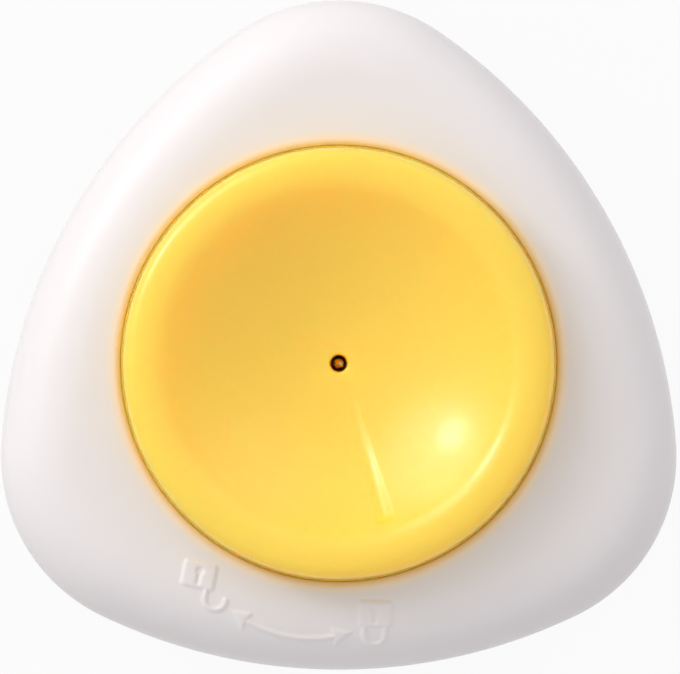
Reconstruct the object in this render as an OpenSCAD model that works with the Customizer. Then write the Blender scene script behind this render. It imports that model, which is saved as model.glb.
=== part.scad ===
// Egg piercer with a twist lock.
// An egg stands in the cup and presses it down past a fixed needle, and a spring lifts it again.
// Turned to the closed padlock, the cup's lugs stand over the collar's ledges and it can't be pressed.
// Millimetres. +Z is up along the needle, +Y points to a corner, the origin is on the table.

/* [Casing] */
// From the opening to the middle of a side
side_margin = 8.8; // [8.4:0.1:10]
// How much further than a side a corner reaches
corner_extra = 5.5; // [5:0.1:6]
// Corner radius seen from above
corner_r = 17.3; // [16.5:0.1:18]
// Height of the flat top above the table
body_h = 27.5; // [27:0.5:32]
// Shell wall
shell_wall = 2; // [1.6:0.1:2.4]
// Shoulder radius next to the side wall
shoulder_r = 5.6; // [4.6:0.1:6]
// Shoulder radius next to the flat top
crown_r = 10; // [8:0.5:11]
// Slope at which the two shoulder radii meet
crown_slope = 20; // [12:1:22]
// Lean of the side wall
draft = 1.5; // [0.5:0.5:2]
// Height of the joint between shell and base
parting_z = 6; // [5.5:0.5:8]
// Rounding of the opening's edge
mouth_round = 0.5; // [0.3:0.1:0.6]

/* [Moulded marks] */
// Height of the raised marks
mark_h = 0.25; // [0.15:0.05:0.4]
// From the opening to the middle of the padlocks
mark_margin = 3.4; // [3:0.1:3.8]
// Direction of the closed padlock
closed_at = -81.7; // [-84:0.1:-80]
// Tilt of the closed padlock
closed_tilt = -2; // [-8:1:8]
// Tilt of the open padlock
open_tilt = -12; // [-33:1:0]
// Width of a padlock
lock_w = 3.2; // [2.8:0.1:3.6]
// Height of a padlock's body
lock_h = 2.5; // [2.2:0.1:2.8]
// Width of a shackle
shackle_w = 2.5; // [2.2:0.1:2.8]
// Length of a shackle
shackle_l = 2; // [1.8:0.1:2.2]
// Stroke of the shackles and the arrow
stroke = 0.45; // [0.35:0.05:0.6]
// Sideways swing of the open shackle
shackle_swing = 2; // [1.6:0.1:2.2]
// From the opening to the arrow
arrow_margin = 5.8; // [5.4:0.1:6]
// Bend radius of the arrow
arrow_r = 12; // [10:0.5:16]
// Length of an arrow head
head_len = 1.7; // [1.4:0.1:2]

/* [Cup] */
// Outer radius of the cup
cup_r = 20.9; // [20.5:0.1:21.3]
// Gap around the cup
cup_gap = 0.3; // [0.25:0.05:0.4]
// Height of the rim above the casing
cup_proud = 5.5; // [5.2:0.1:7]
// Cup wall
cup_wall = 2; // [1.8:0.1:2.2]
// Radius of the bowl
bowl_r = 25; // [24:0.5:28]
// Radius of the rim's outer edge
rim_out_r = 1.9; // [1.5:0.1:2]
// Radius of the rim's inner edge
rim_in_r = 3; // [2.6:0.1:3.2]
// Width of the rim's flat crest
rim_flat = 0.3; // [0.2:0.1:0.5]
// Diameter of the needle hole
hole_d = 1.8; // [1.6:0.1:2.2]
// Direction of the pointer groove at rest
pointer_at = -73.5; // [-75:0.1:-72]
// Where the pointer starts, measured from the needle
pointer_from = 3.4; // [3:0.1:5]
// Where the pointer ends, measured from the needle
pointer_to = 15.6; // [12:0.1:15.8]
// Round of the pointer groove
pointer_r = 1.2; // [1:0.1:1.4]
// Depth of the pointer groove
pointer_depth = 0.35; // [0.2:0.05:0.5]

/* [Press and turn] */
// How far the cup goes down
travel = 5; // [4:0.1:5]
// How far the cup turns
turn = 49.9; // [46:0.1:54]
// Needle tip below the bowl at rest
needle_sink = 1; // [0.8:0.1:1.6]
// Height of a lug
lug_t = 2.4; // [2:0.1:2.8]
// How far a lug stands out of the cup
lug_out = 2; // [1.6:0.1:2.2]
// Width of a lug
lug_w = 2.4; // [2:0.1:2.6]
// Width of a lock ledge
ledge_w = 2.4; // [2:0.1:2.6]
// Gap between a lug and what holds it
lug_gap = 0.3; // [0.2:0.05:0.4]

/* [Collar] */
// Collar wall
collar_wall = 2.2; // [2:0.1:2.4]
// Height of the collar that guides the cup
guide_h = 6.8; // [6.2:0.1:7.4]
// Rim under the windows
collar_rim = 1.6; // [1.2:0.1:2]
// Ear thickness
ear_t = 2; // [1.6:0.1:2.4]
// Thickness of the detent leaf
leaf_t = 0.3; // [0.25:0.05:0.35]
// Height of the detent leaf
leaf_h = 2; // [1.8:0.1:2.4]
// Angle that the detent leaf covers
leaf_angle = 22; // [18:1:26]

/* [Needle, spring and post] */
// Needle diameter
needle_d = 1.1; // [0.9:0.1:1.2]
// Length of the needle point
point_len = 3; // [2.4:0.2:4]
// Needle head diameter
needle_head_d = 4; // [3.4:0.2:4.4]
// Needle head thickness
needle_head_t = 0.8; // [0.6:0.1:1]
// Spring wire diameter
wire_d = 0.9; // [0.8:0.1:1]
// Mean radius of the spring
spring_r = 6.1; // [5.8:0.1:6.4]
// Turns of the spring
coils = 5; // [4:0.5:5.5]
// Thrust washer thickness
washer_t = 1.2; // [1:0.1:1.6]
// Flange of the needle post
post_flange_t = 2; // [1.8:0.1:2.4]
// Height of the hub that centres the spring
hub_h = 3; // [2:0.2:3.4]
// Radius of the post at its top
post_top_r = 1.8; // [1.6:0.1:2.2]
// Radius of the post at its foot
post_foot_r = 3; // [2.6:0.1:3.4]

/* [Base] */
// Floor thickness
floor_t = 2; // [1.8:0.1:2.4]
// Rounding of the base's lower edge
base_round = 3.2; // [2.6:0.1:3.4]
// Step of the base behind the shell
base_step = 0.3; // [0.2:0.05:0.5]
// Visible gap at the joint
parting_gap = 0.4; // [0.3:0.1:0.6]
// Thickness of the locating lip
lip_t = 1.2; // [1:0.1:1.4]
// Height of the locating lip
lip_h = 2; // [1.5:0.1:2.4]
// How far the foot strips stand out
foot_proud = 0.8; // [0.6:0.1:1]
// Width of a foot strip
strip_w = 3.5; // [3:0.1:4]
// Length of a foot strip
strip_len = 22; // [16:1:24]
// From the outline to a foot strip
strip_inset = 5.5; // [5:0.1:6]
// Magnet radius
magnet_r = 7.5; // [6.5:0.1:8]
// Magnet thickness
magnet_h = 3; // [2.5:0.1:3.5]
// Thickness of the pad under the magnet
pad_t = 1.2; // [1.1:0.1:1.5]

/* [Screws] */
// Screw diameter
screw_d = 2.2; // [2:0.1:2.4]
// Screw head diameter
head_d = 3.8; // [3.6:0.1:4]
// Screw head height
head_h = 1.2; // [1:0.1:1.4]
// From a corner of the outline to its cover screw
corner_screw_inset = 6.9; // [6.7:0.1:7.4]

/* [Hidden] */
$fa = 3;
$fs = 0.2;
eps = 0.01;
sides = 3;
step = 360 / sides;
first_side = 30;
first_corner = 90;
marked_side = 2;
mark_steps = 12;
arrow_half = 21;
arrow_shift = 2.2;
keyhole_r = 0.35;
keyhole_l = 0.75;
keyhole_neck = 40;
keyhole_down = -90;
fit = 0.05;
slack = 0.15;
clear = 0.3;
big = 100;
over = 1;
seam = 0.02;
seam_lap = 1;
pie_lap = 1;
hair = 0.001;

// Reach from the needle axis
mouth_r = cup_r + cup_gap;
side_reach = mouth_r + side_margin;
corner_reach = side_reach + corner_extra;
mark_reach = mouth_r + mark_margin;
arrow_reach = mouth_r + arrow_margin;

// Outline: three side arcs and three corner arcs that run into each other
bulge = corner_reach - side_reach;
corner_c = corner_reach - corner_r;
side_c = (2 * bulge * corner_c - bulge * bulge) / (corner_c - 2 * bulge);
side_r = side_reach + side_c;
side_half = atan2(corner_c * sin(step / 2), side_c + corner_c * cos(step / 2));
corner_half = step / 2 - side_half;

function dir(a) = [cos(a), sin(a)];
function arc(c, r, a0, a1, n) = [for (i = [0:n]) c + r * dir(a0 + (a1 - a0) * i / n)];
function side_arc(i, inset, n) =
    arc(-side_c * dir(first_side + step * i), side_r - inset,
        first_side + step * i - side_half, first_side + step * i + side_half, n);
function corner_arc(i, inset, n) =
    arc(corner_c * dir(first_corner + step * i), corner_r - inset,
        first_corner + step * i - corner_half, first_corner + step * i + corner_half, n);
plate_steps = 10;
function outline(inset) =
    [for (i = [0:sides - 1])
        for (p = concat(side_arc(i, inset, plate_steps), corner_arc(i, inset, plate_steps))) p];

// Shell section, drawn with the outline at x = 0 and the inside at negative x
crown_n = 90 - crown_slope;
crown_dir = dir(crown_n);
wall_top_z = body_h - crown_r + (crown_r - shoulder_r) * crown_dir.y + shoulder_r * sin(draft);
flat_inset = (crown_r - shoulder_r) * crown_dir.x + shoulder_r * cos(draft)
    + (wall_top_z - parting_z) * tan(draft);
crown_at = [-flat_inset, body_h - crown_r];
shoulder_at = crown_at + (crown_r - shoulder_r) * crown_dir;
band_lap = 3;
plate_lap = 1;
band_w = flat_inset + band_lap;
plate_inset = band_w - plate_lap;
ceiling_z = body_h - shell_wall;

// Base levels
base_z = foot_proud;
floor_z = base_z + floor_t;
base_top = parting_z - parting_gap;
lip_out = shell_wall / cos(draft) + slack;
lip_in = lip_out + lip_t;
strip_sink = 0.6;
pad_lap = 1.5;
pad_r = magnet_r + pad_lap;
pocket_top = pad_t + magnet_h + slack;
pedestal_z = pocket_top + floor_t;

// Screws
pilot_r = screw_d / 2 + fit;
head_room = head_d / 2 + clear;
boss_wall = 1.5;
boss_r = screw_d / 2 + boss_wall;
head_wall = 1;
screw_tip_d = screw_d / 3;
recess_l = head_d * 0.55;
recess_w = 0.55;
recess_depth = 0.7;
corner_screw_at = corner_reach - corner_screw_inset;
seat_z = base_z + head_h + slack;
base_boss_h = 2.4;
base_boss_z = floor_z + base_boss_h;
cover_screw_len = 9;
rib_t = 1.2;
rib_z = parting_z + lip_h + clear;
rib_sink = 0.6;
rib_drop = 3;

// Cup section
crest_z = body_h + cup_proud;
rim_out_c = [cup_r - rim_out_r, crest_z - rim_out_r];
rim_in_c = [cup_r - rim_out_r - rim_flat, crest_z - rim_in_r];
bowl_c = [0, rim_in_c.y + sqrt(pow(bowl_r + rim_in_r - hair, 2) - pow(rim_in_c.x, 2))];
rim_angle = atan2(rim_in_c.y - bowl_c.y, rim_in_c.x);
bowl_z = bowl_c.y - bowl_r;
cup_floor_z = bowl_z - cup_wall;
skirt_in_r = cup_r - cup_wall;
rim_lap = 3;
in_rim = rim_in_c + rim_in_r / 2 * dir((rim_angle + 270) / 2);
in_edge = rim_out_c + rim_out_r / 2 * dir(45);
in_bowl = bowl_c + (bowl_r + cup_wall / 2) * dir(rim_angle - rim_lap);
seat_h = 1;
seat_in = 0.6;
seat_out = 1.4;
seat_ring_in = spring_r - wire_d / 2 - seat_in;
seat_ring_out = spring_r + wire_d / 2 + seat_out;
washer_top = cup_floor_z - seat_h;
washer_z = washer_top - washer_t;
countersink = 0.2;

// Collar and lugs
collar_r = mouth_r + collar_wall;
crown_in = crown_r - shell_wall;
collar_under = max(0, flat_inset - (side_reach - collar_r));
collar_top = ceiling_z - (crown_in - sqrt(crown_in * crown_in - collar_under * collar_under)) - slack;
window_top = ceiling_z - guide_h;
lug_top = window_top - lug_gap;
lug_z = lug_top - lug_t;
window_z = lug_z - travel - lug_gap;
collar_z = window_z - collar_rim;
lug_r = cup_r + lug_out;
ear_angle = 60;
lug_angle_before_ear = 35;
lug_mid_r = (mouth_r + lug_r) / 2;
lug_half = lug_w / lug_mid_r * 90 / PI;
ledge_half = ledge_w / lug_mid_r * 90 / PI;
gap_angle = lug_gap / lug_mid_r * 180 / PI;
lug_at = ear_angle - lug_angle_before_ear;
lock_turn = pointer_at - closed_at;
ledge_at = lug_at - lock_turn;
open_at = pointer_at - turn;
window_from = lug_at - turn - lug_half - gap_angle;
window_to = lug_at + lug_half + gap_angle;
ledge_top = lug_z - lug_gap;
window_lap = 1;
ear_wall = 1.2;
ear_r = screw_d / 2 + ear_wall;
ear_at = collar_r + ear_r;
ear_z = collar_z + ear_t;
collar_bite = 4.5;
leaf_back = 0.5;
leaf_r = mouth_r + leaf_back;
leaf_room = 0.6;
leaf_over = 0.6;
leaf_z = window_top + leaf_over;
leaf_at = ear_angle;
leaf_seat = 2;
dimple_r = 0.75;
dimple_at = leaf_r + leaf_t - dimple_r;
groove_r = dimple_r + 2 * fit;

// Carrier
carrier_screw_at = skirt_in_r + clear - boss_r;
carrier_in_r = carrier_screw_at - boss_r;
spigot_h = 2.4;
carrier_boss_z = lug_top + spigot_h + slack;
carrier_screw_len = 7;
carrier_angle = 60;

// Needle and post
tip_z = bowl_z - needle_sink;
tip_r = 0.06;
flange_z = pedestal_z + post_flange_t;
post_room = 0.6;
post_top = cup_floor_z - travel - post_room;
hub_room = 0.6;
hub_r = spring_r - wire_d / 2 - hub_room;
washer_lip = 0.9;
washer_in_r = hub_r - washer_lip;
pocket_wall = 1.1;
post_screw_at = max(spring_r + wire_d / 2 + head_room, magnet_r + slack + pocket_wall + pilot_r);
flange_edge = 0.6;
flange_r = post_screw_at + head_d / 2 + flange_edge;
pedestal_edge = 0.2;
pedestal_r = flange_r + pedestal_edge;
post_screw_len = 5.4;
post_screw_angle = 90;

// Spring: its closed end turns lie flat on the post and the washer
spring_low = flange_z + wire_d / 2;
spring_high = washer_z - wire_d / 2;
end_turns = 1;
wire_sides = 8;
rings_per_turn = 24;
wire_gap = 0.6;
end_pitch = wire_d + wire_gap;
end_rise = end_pitch * end_turns;
spring_rings = ceil(coils * rings_per_turn);
open_turns = coils - 2 * end_turns;
open_rise = spring_high - spring_low - 2 * end_rise;
function spring_z(t) =
    t < end_turns ? spring_low + end_pitch * t
    : t > coils - end_turns ? spring_high - end_pitch * (coils - t)
    : spring_low + end_rise + open_rise * (t - end_turns) / open_turns;
spring_points = [for (i = [0:spring_rings])
    let (t = coils * i / spring_rings)
    [spring_r * cos(360 * t), spring_r * sin(360 * t), spring_z(t)]];
function ring_point(i, k) =
    let (t = coils * i / spring_rings, a = 360 * k / wire_sides, u = dir(360 * t))
    [(spring_r + wire_d / 2 * cos(a)) * u.x, (spring_r + wire_d / 2 * cos(a)) * u.y,
        spring_z(t) + wire_d / 2 * sin(a)];
near_turn = 0.75;
one_turn = round(rings_per_turn * near_turn);
spring_gap = min([for (i = [0:spring_rings]) for (j = [i + one_turn:1:spring_rings])
    norm(spring_points[i] - spring_points[j])]) - wire_d;

white = [0.95, 0.95, 0.94];
yolk = [0.97, 0.78, 0.25];
acetal = [0.86, 0.87, 0.87];
steel = [0.72, 0.73, 0.75];
rubber = [0.22, 0.22, 0.23];

// Sector of a disc, at most a quarter turn
module pie(r, a0, a1) {
    intersection() {
        circle(r = r);
        polygon([[0, 0], 2 * r * dir(a0), 2 * r * dir((a0 + a1) / 2), 2 * r * dir(a1)]);
    }
}

// Part of a ring, at most a quarter turn
module ring_part(r_out, r_in, a0, a1) {
    difference() {
        pie(r_out, a0, a1);
        circle(r = r_in);
    }
}

// Block between two radii and two directions about the needle axis
module bent_block(r_in, r_out, a0, a1, z0, z1) {
    rotate(a0)
        rotate_extrude(angle = a1 - a0)
            translate([r_in, z0])
                square([r_out - r_in, z1 - z0]);
}

// Carries a section along one side arc
module along_side(i) {
    rotate(first_side + step * i)
        translate([-side_c, 0, 0])
            rotate(-side_half)
                rotate_extrude(angle = 2 * side_half)
                    translate([side_r, 0])
                        children();
}

// Carries a section along one corner arc, a hair inside the sides' skin, so that its ends sit in them
module along_corner(i, drop) {
    rotate(first_corner + step * i)
        translate([corner_c, 0, -drop])
            rotate(-corner_half - seam_lap)
                rotate_extrude(angle = 2 * (corner_half + seam_lap))
                    translate([corner_r - seam, 0])
                        children();
}

module along_outline(drop) {
    for (i = [0:sides - 1]) {
        along_side(i)
            children();
        along_corner(i, drop)
            children();
    }
}

module around(first) {
    for (i = [0:sides - 1])
        rotate(first + step * i)
            children();
}

module tube(r_out, r_in, h) {
    difference() {
        cylinder(r = r_out, h = h);
        translate([0, 0, -over])
            cylinder(r = r_in, h = h + 2 * over);
    }
}

// Pan head screw standing on its head, with a cross recess
module screw(len) {
    difference() {
        cylinder(d = head_d, h = head_h);
        translate([-recess_l / 2, -recess_w / 2, -eps])
            cube([recess_l, recess_w, recess_depth]);
        translate([-recess_w / 2, -recess_l / 2, -eps])
            cube([recess_w, recess_l, recess_depth]);
    }
    translate([0, 0, head_h - eps])
        cylinder(d = screw_d, h = len - screw_d / 2 + eps);
    translate([0, 0, head_h + len - screw_d / 2])
        cylinder(d1 = screw_d, d2 = screw_tip_d, h = screw_d / 2);
}

// Everything inside the skin, or inside its inner face when t is the wall
module shell_fill(t, z, w) {
    foot = [(parting_z - z) * tan(draft) - t / cos(draft) - hair, z];
    wall_top = shoulder_at + (shoulder_r - t) * dir(draft) - [hair, 0];
    in_crown = crown_at + (crown_r - t) / 2 * dir((crown_n + 90) / 2);
    in_shoulder = shoulder_at + (shoulder_r - t) / 2 * dir((draft + crown_n) / 2);
    translate(crown_at)
        pie(crown_r - t, crown_n, 90);
    translate(shoulder_at)
        pie(shoulder_r - t, draft, crown_n + pie_lap);
    polygon([[-w, z], foot, wall_top, in_shoulder, in_crown, [crown_at.x, body_h - t], [-w, body_h - t]]);
}

module shell_section() {
    difference() {
        shell_fill(0, parting_z, band_w);
        shell_fill(shell_wall, parting_z - over, band_w + over);
    }
}

module skin() {
    along_outline(seam)
        shell_section();
    translate([0, 0, ceiling_z + seam / 2])
        linear_extrude(shell_wall - seam)
            polygon(outline(plate_inset));
}

// Raised bow of a padlock, with the free end shortened by open_gap
module shackle(swing, open_gap) {
    r = shackle_w / 2;
    leg = shackle_l - r;
    free_end = open_gap > 0 ? leg - open_gap : leg + stroke;
    translate([swing, -lock_h / 2 - leg])
        polygon(concat(
            [[stroke - r, leg + stroke], [-r, leg + stroke]],
            arc([0, 0], r, 180, 360, mark_steps),
            [[r, free_end], [r - stroke, free_end]],
            arc([0, 0], r - stroke, 360, 180, mark_steps)));
}

module padlock(swing, open_gap) {
    difference() {
        square([lock_w, lock_h], center = true);
        polygon(concat(
            arc([0, keyhole_l / 2], keyhole_r, keyhole_down + keyhole_neck,
                keyhole_down + 360 - keyhole_neck, mark_steps),
            [[-keyhole_r / 2, -keyhole_l], [keyhole_r / 2, -keyhole_l]]));
    }
    shackle(swing, open_gap);
}

module arrow() {
    head_angle = head_len / arrow_r * 180 / PI;
    at = (open_at + closed_at) / 2 + arrow_shift;
    from = at - arrow_half;
    to = at + arrow_half;
    head_in = arrow_r - head_len / 2;
    head_out = arrow_r + head_len / 2;
    translate((arrow_reach - arrow_r) * dir(at))
        polygon(concat(
            [arrow_r * dir(from - head_angle), head_out * dir(from)],
            arc([0, 0], arrow_r + stroke / 2, from, to, mark_steps),
            [head_out * dir(to), arrow_r * dir(to + head_angle), head_in * dir(to)],
            arc([0, 0], arrow_r - stroke / 2, to, from, mark_steps),
            [head_in * dir(from)]));
}

module marks() {
    translate(mark_reach * dir(closed_at))
        rotate(closed_tilt)
            padlock(0, 0);
    translate(mark_reach * dir(open_at))
        rotate(open_tilt)
            padlock(shackle_swing, stroke);
    arrow();
}

module mouth_cut() {
    rotate_extrude() {
        translate([0, parting_z])
            square([mouth_r, big]);
        difference() {
            translate([0, body_h - mouth_round])
                square([mouth_r + mouth_round, 2 * mouth_round]);
            translate([mouth_r + mouth_round, body_h - mouth_round])
                circle(r = mouth_round);
        }
    }
}

module shell() {
    color(white)
    difference() {
        union() {
            skin();
            intersection() {
                translate([0, 0, mark_h])
                    along_side(marked_side)
                        shell_section();
                translate([0, 0, parting_z])
                    linear_extrude(body_h)
                        marks();
            }
            around(first_corner)
                translate([corner_screw_at, 0, base_boss_z + slack])
                    cylinder(r = boss_r, h = ceiling_z - base_boss_z - slack + shell_wall / 4);
            around(first_corner)
                translate([corner_screw_at, -rib_t / 2, rib_z])
                    cube([corner_screw_inset - rib_sink * shell_wall, rib_t, wall_top_z - rib_drop - rib_z]);
        }
        mouth_cut();
        around(first_corner)
            translate([corner_screw_at, 0, 0])
                cylinder(r = pilot_r, h = seat_z + cover_screw_len + over);
    }
}

module window(a0, a1, z0, z1) {
    bent_block(mouth_r - over, collar_r + over, a0, a1, z0, z1);
}

module lock_collar() {
    color(acetal)
    difference() {
        union() {
            translate([0, 0, collar_z])
                cylinder(r = collar_r, h = collar_top - collar_z);
            around(ear_angle)
                translate([0, 0, collar_z]) {
                    translate([ear_at, 0, 0])
                        cylinder(r = ear_r, h = ear_t);
                    translate([mouth_r + collar_wall / 2, -ear_r, 0])
                        cube([ear_at - mouth_r - collar_wall / 2, 2 * ear_r, ear_t]);
                }
        }
        translate([0, 0, collar_z - over])
            cylinder(r = mouth_r, h = collar_top - collar_z + 2 * over);
        around(ear_angle)
            translate([ear_at, 0, 0])
                cylinder(r = pilot_r, h = ear_z + over);
        around(0) {
            window(window_from, ledge_at - ledge_half, collar_z - over, window_top);
            window(ledge_at - ledge_half - window_lap, ledge_at + ledge_half + window_lap,
                ledge_top, window_top - seam);
            window(ledge_at + ledge_half, window_to, window_z, window_top);
        }
        bent_block(mouth_r - over, leaf_r + leaf_t + leaf_room, leaf_at - leaf_angle / 2 + leaf_seat,
            leaf_at + leaf_angle / 2 - leaf_seat, leaf_z - fit, leaf_z + leaf_h + fit);
        bent_block(leaf_r - fit, leaf_r + leaf_t + fit, leaf_at - leaf_angle / 2 - leaf_seat / 4,
            leaf_at + leaf_angle / 2 + leaf_seat / 4, leaf_z - fit, leaf_z + leaf_h + fit);
    }
}

module collar_screws() {
    color(steel)
    around(ear_angle)
        translate([ear_at, 0, ear_z + head_h])
            rotate([180, 0, 0])
                screw(ear_t + collar_bite);
}

module detent_spring() {
    color(steel)
    union() {
        bent_block(leaf_r, leaf_r + leaf_t, leaf_at - leaf_angle / 2, leaf_at + leaf_angle / 2,
            leaf_z, leaf_z + leaf_h);
        rotate(leaf_at)
            translate([dimple_at, 0, leaf_z + leaf_h / 2])
                sphere(r = dimple_r);
    }
}

module cup_section() {
    difference() {
        translate(bowl_c)
            ring_part(bowl_r + cup_wall, bowl_r, -90, rim_angle);
        translate([-big, 0])
            square([big, big]);
    }
    translate(rim_in_c)
        pie(rim_in_r, 90, rim_angle + 180 + rim_lap);
    translate(rim_out_c)
        pie(rim_out_r, 0, 90);
    polygon([in_rim, [rim_in_c.x, crest_z], [rim_out_c.x, crest_z], in_edge, [cup_r, rim_out_c.y],
        [cup_r, lug_top], [skirt_in_r, lug_top], [skirt_in_r, rim_in_c.y - cup_wall], in_bowl]);
    translate([seat_ring_in, washer_top])
        square([seat_ring_out - seat_ring_in, bowl_z - washer_top]);
}

module pointer_groove() {
    reach = bowl_r - pointer_r + pointer_depth;
    a0 = asin(pointer_from / bowl_r);
    a1 = asin(pointer_to / bowl_r);
    translate([0, 0, bowl_c.y])
        rotate(pointer_at)
            rotate([90, 0, 0]) {
                rotate(a0 - 90)
                    rotate_extrude(angle = a1 - a0)
                        translate([reach, 0])
                            circle(r = pointer_r);
                for (a = [a0, a1])
                    rotate(a - 90)
                        translate([reach, 0, 0])
                            sphere(r = pointer_r);
            }
}

module press_cup() {
    color(yolk)
    difference() {
        union() {
            rotate_extrude()
                cup_section();
            difference() {
                around(carrier_angle + lug_at)
                    translate([carrier_screw_at, 0, carrier_boss_z])
                        cylinder(r = boss_r, h = crest_z - rim_in_r - carrier_boss_z);
                translate([0, 0, bowl_c.y])
                    sphere(r = bowl_r + cup_wall / 2);
            }
        }
        cylinder(d = hole_d, h = crest_z);
        translate([0, 0, bowl_z - countersink])
            cylinder(d1 = hole_d, d2 = hole_d + 4 * countersink, h = 2 * countersink);
        pointer_groove();
        around(carrier_angle + lug_at)
            translate([carrier_screw_at, 0, 0])
                cylinder(r = pilot_r, h = lug_z + head_h + slack + carrier_screw_len + slack);
        for (a = [0, lock_turn, turn])
            rotate(leaf_at + a)
                translate([dimple_at, 0, lug_top - over])
                    cylinder(r = groove_r, h = leaf_z + leaf_h + travel - lug_top + over);
    }
}

module cup_carrier() {
    color(acetal)
    difference() {
        union() {
            translate([0, 0, lug_z])
                cylinder(r = cup_r, h = lug_t);
            translate([0, 0, lug_z])
                cylinder(r = skirt_in_r - slack, h = lug_t + spigot_h);
            around(0)
                bent_block(cup_r - over, lug_r, lug_at - lug_half, lug_at + lug_half, lug_z, lug_top);
        }
        translate([0, 0, lug_z - over])
            cylinder(r = carrier_in_r, h = lug_t + spigot_h + 2 * over);
        around(carrier_angle + lug_at)
            translate([carrier_screw_at, 0, lug_z - over]) {
                cylinder(r = pilot_r, h = lug_t + spigot_h + 2 * over);
                cylinder(r = head_d / 2 + fit, h = head_h + slack + over);
            }
    }
}

module carrier_screws() {
    color(steel)
    around(carrier_angle + lug_at)
        translate([carrier_screw_at, 0, lug_z + slack])
            screw(carrier_screw_len);
}

module thrust_washer() {
    color(acetal)
    union() {
        translate([0, 0, washer_z])
            tube(seat_ring_out, washer_in_r, washer_t);
        translate([0, 0, washer_z - washer_t])
            tube(hub_r, washer_in_r, washer_t + eps);
    }
}

module return_spring() {
    echo(str("spring gap to itself ", spring_gap, " mm"));
    points = [for (i = [0:spring_rings]) for (k = [0:wire_sides - 1]) ring_point(i, k)];
    skin = [for (i = [0:spring_rings - 1]) for (k = [0:wire_sides - 1])
        let (a = i * wire_sides + k, b = i * wire_sides + (k + 1) % wire_sides)
        [a, b, b + wire_sides, a + wire_sides]];
    first_cap = [for (k = [wire_sides - 1:-1:0]) k];
    last_cap = [for (k = [0:wire_sides - 1]) spring_rings * wire_sides + k];
    color(steel)
    polyhedron(points, concat(skin, [first_cap, last_cap]), convexity = 10);
}

module needle_post() {
    color(white)
    difference() {
        union() {
            translate([0, 0, pedestal_z])
                cylinder(r = flange_r, h = post_flange_t);
            translate([0, 0, pedestal_z])
                cylinder(r = hub_r, h = post_flange_t + hub_h);
            translate([0, 0, pedestal_z])
                cylinder(r1 = post_foot_r, r2 = post_top_r, h = post_top - pedestal_z);
        }
        cylinder(d = needle_d + 2 * fit, h = crest_z);
        translate([0, 0, pedestal_z - over])
            cylinder(d = needle_head_d + 2 * fit, h = needle_head_t + fit + over);
        for (a = [0, 180])
            rotate(post_screw_angle + a)
                translate([post_screw_at, 0, 0])
                    cylinder(r = pilot_r, h = crest_z);
    }
}

module post_screws() {
    color(steel)
    for (a = [0, 180])
        rotate(post_screw_angle + a)
            translate([post_screw_at, 0, flange_z + head_h])
                rotate([180, 0, 0])
                    screw(post_screw_len);
}

module needle() {
    color(steel)
    union() {
        translate([0, 0, pedestal_z])
            cylinder(d = needle_head_d, h = needle_head_t);
        translate([0, 0, pedestal_z])
            cylinder(d = needle_d, h = tip_z - point_len - pedestal_z);
        translate([0, 0, tip_z - point_len])
            cylinder(r1 = needle_d / 2, r2 = tip_r, h = point_len);
    }
}

module base_section() {
    round_c = [-base_step - base_round, base_z + base_round];
    in_round = round_c + base_round / 2 * dir(-45);
    difference() {
        union() {
            polygon([[-band_w, base_z], [round_c.x, base_z], in_round, [-base_step, round_c.y],
                [-base_step, base_top], [-band_w, base_top]]);
            translate(round_c)
                pie(base_round, -90, 0);
        }
        translate([-band_w - over, floor_z])
            square([band_w + over - lip_in, base_top]);
    }
    translate([-lip_in, floor_z])
        square([lip_t, parting_z + lip_h - floor_z]);
}

module strip(grow, h) {
    strip_r = side_r - strip_inset - strip_w / 2;
    strip_half = (strip_len - strip_w) / 2 / strip_r * 180 / PI;
    translate([-side_c, 0, 0]) {
        rotate(-strip_half)
            rotate_extrude(angle = 2 * strip_half)
                translate([strip_r - strip_w / 2 - grow, 0])
                    square([strip_w + 2 * grow, h]);
        for (a = [-strip_half, strip_half])
            rotate(a)
                translate([strip_r, 0, 0])
                    cylinder(r = strip_w / 2 + grow, h = h);
    }
}

module base_cover() {
    color(white)
    difference() {
        union() {
            along_outline(-seam)
                base_section();
            translate([0, 0, base_z + seam / 2])
                linear_extrude(floor_t)
                    polygon(outline(plate_inset));
            translate([0, 0, base_z])
                cylinder(r = pedestal_r, h = pedestal_z - base_z);
            around(first_corner)
                translate([corner_screw_at, 0, base_z])
                    cylinder(r = head_room + head_wall, h = base_boss_z - base_z);
            around(ear_angle)
                translate([ear_at, 0, base_z + floor_t / 2])
                    cylinder(r = ear_r, h = collar_z - base_z - floor_t / 2);
        }
        translate([0, 0, -over])
            cylinder(r = magnet_r + slack, h = pocket_top + over);
        translate([0, 0, -over])
            cylinder(r = pad_r + slack, h = pad_t + over);
        around(first_corner)
            translate([corner_screw_at, 0, 0]) {
                cylinder(r = head_room, h = seat_z);
                cylinder(r = pilot_r, h = big);
            }
        around(ear_angle)
            translate([ear_at, 0, collar_z - collar_bite - slack])
                cylinder(r = pilot_r, h = big);
        around(first_side)
            strip(slack, base_z + strip_sink);
        for (a = [0, 180])
            rotate(post_screw_angle + a)
                translate([post_screw_at, 0, flange_z - post_screw_len - slack])
                    cylinder(r = pilot_r, h = big);
    }
}

module cover_screws() {
    color(steel)
    around(first_corner)
        translate([corner_screw_at, 0, seat_z - head_h])
            screw(cover_screw_len);
}

module magnet() {
    color(steel)
    translate([0, 0, pad_t])
        cylinder(r = magnet_r, h = magnet_h);
}

module magnet_pad() {
    color(rubber)
    cylinder(r = pad_r, h = pad_t);
}

module foot_strip(i) {
    color(rubber)
    rotate(first_side + step * i)
        strip(0, base_z + strip_sink);
}

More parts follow.
